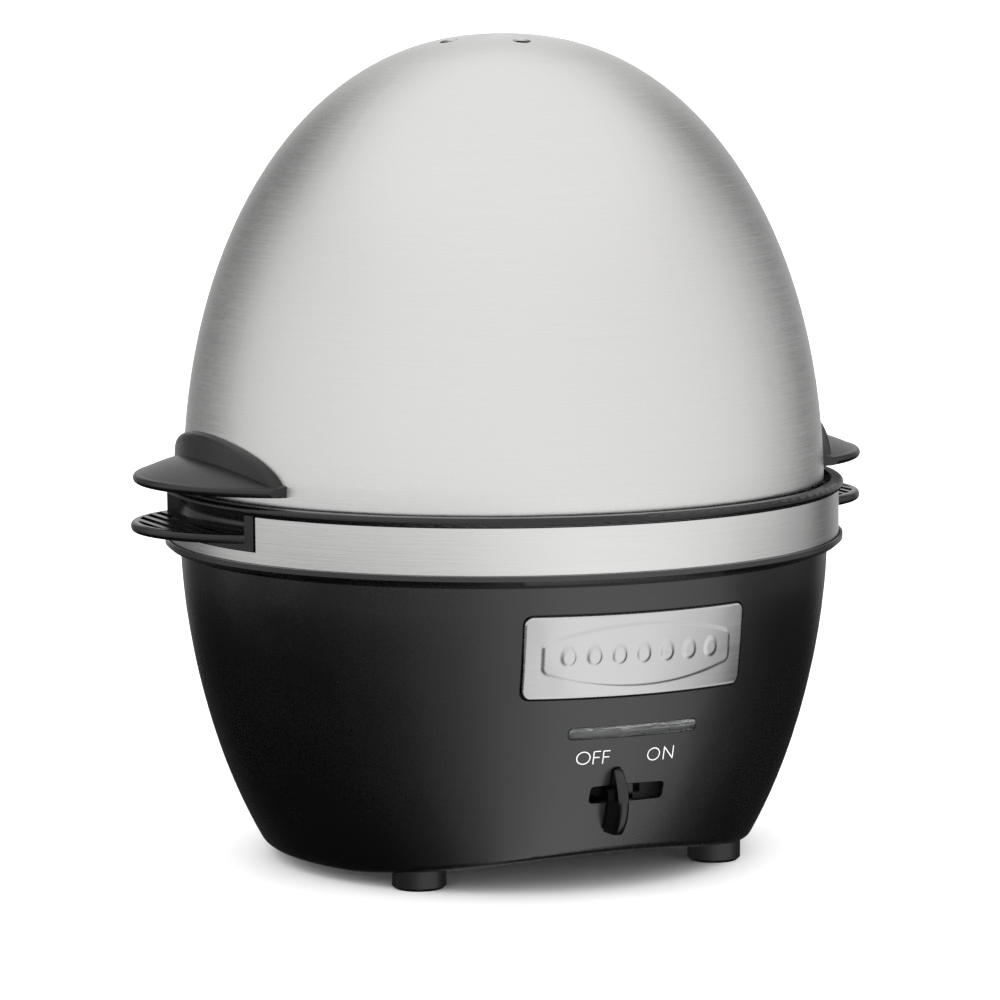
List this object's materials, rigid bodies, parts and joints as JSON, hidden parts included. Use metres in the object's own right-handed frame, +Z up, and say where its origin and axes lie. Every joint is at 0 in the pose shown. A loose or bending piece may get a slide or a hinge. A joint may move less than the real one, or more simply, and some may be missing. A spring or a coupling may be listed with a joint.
{
  "type": "egg cooker",
  "caption": "Electric steam egg cooker with a tapered base, a steel dome lid with side wings, lift-out egg racks with finger tabs and a sliding power switch.",
  "frame": {"origin": "middle of the footprint, on the surface that the feet stand on", "axes": "+Z up; -Y is the front with the name plate and switch; +X is to the right seen from the front, so the handles are at +X and -X"},
  "size_m": [0.22, 0.1926, 0.2319],
  "materials": {
    "black_body": "satin moulded",
    "band_steel": "brushed around",
    "bowl_coating": "non-stick coated",
    "silicone": "matte",
    "zinc_steel": "zinc plated",
    "heater_sheath": "oxidised",
    "thermostat_can": "plain",
    "fuse_sleeve": "woven sleeve",
    "black_cover": "fine texture",
    "rubber": "matte",
    "plate_steel": "brushed across",
    "clear_lens": "clear, polished",
    "black_lever": "polished",
    "switch_nylon": "plain",
    "circuit_board": "solder mask",
    "lamp_lens": "polished",
    "buzzer_case": "plain",
    "terminal_nylon": "plain",
    "black_rack": "satin moulded",
    "dome_steel": "brushed around",
    "black_handle": "satin moulded"
  },
  "bodies": {
    "base": {"base_housing": "black_body", "steel_band": "band_steel", "heating_bowl": "bowl_coating", "bowl_seal": "silicone", "bowl_studs": "zinc_steel", "bowl_nuts": "zinc_steel", "heating_element": "heater_sheath", "element_tails": "heater_sheath", "thermostat": "thermostat_can", "thermal_fuse": "fuse_sleeve", "bottom_cover": "black_cover", "rubber_feet": "rubber", "foot_screws": "zinc_steel", "cover_screws": "zinc_steel", "name_plate": "plate_steel", "indicator_lens": "clear_lens", "switch_body": "switch_nylon", "switch_screws": "zinc_steel", "control_board": "circuit_board", "board_screws": "zinc_steel", "indicator_lamp": "lamp_lens", "buzzer": "buzzer_case", "cord_gland": "black_cover", "terminal_block": "terminal_nylon"},
    "switch": {"switch_lever": "black_lever"},
    "rack": {"lower_egg_rack": "black_rack"},
    "upper_rack": {"upper_egg_rack": "black_rack", "upper_rack_legs": "black_rack"},
    "lid": {"lid_dome": "dome_steel", "lid_wing_right": "black_handle", "lid_wing_left": "black_handle", "wing_screws": "zinc_steel"}
  },
  "joints": [
    {"name": "power_switch", "type": "slide", "parent": "base", "child": "switch", "axis": [1, 0, 0], "range_m": [0, 0.008]},
    {"name": "rack_lift", "type": "slide", "parent": "base", "child": "rack", "axis": [0, 0, 1], "range_m": [0, 0.05]},
    {"name": "upper_rack_lift", "type": "slide", "parent": "rack", "child": "upper_rack", "axis": [0, 0, 1], "range_m": [0, 0.06]},
    {"name": "lid_lift", "type": "slide", "parent": "upper_rack", "child": "lid", "axis": [0, 0, 1], "range_m": [0, 0.14]}
  ]
}
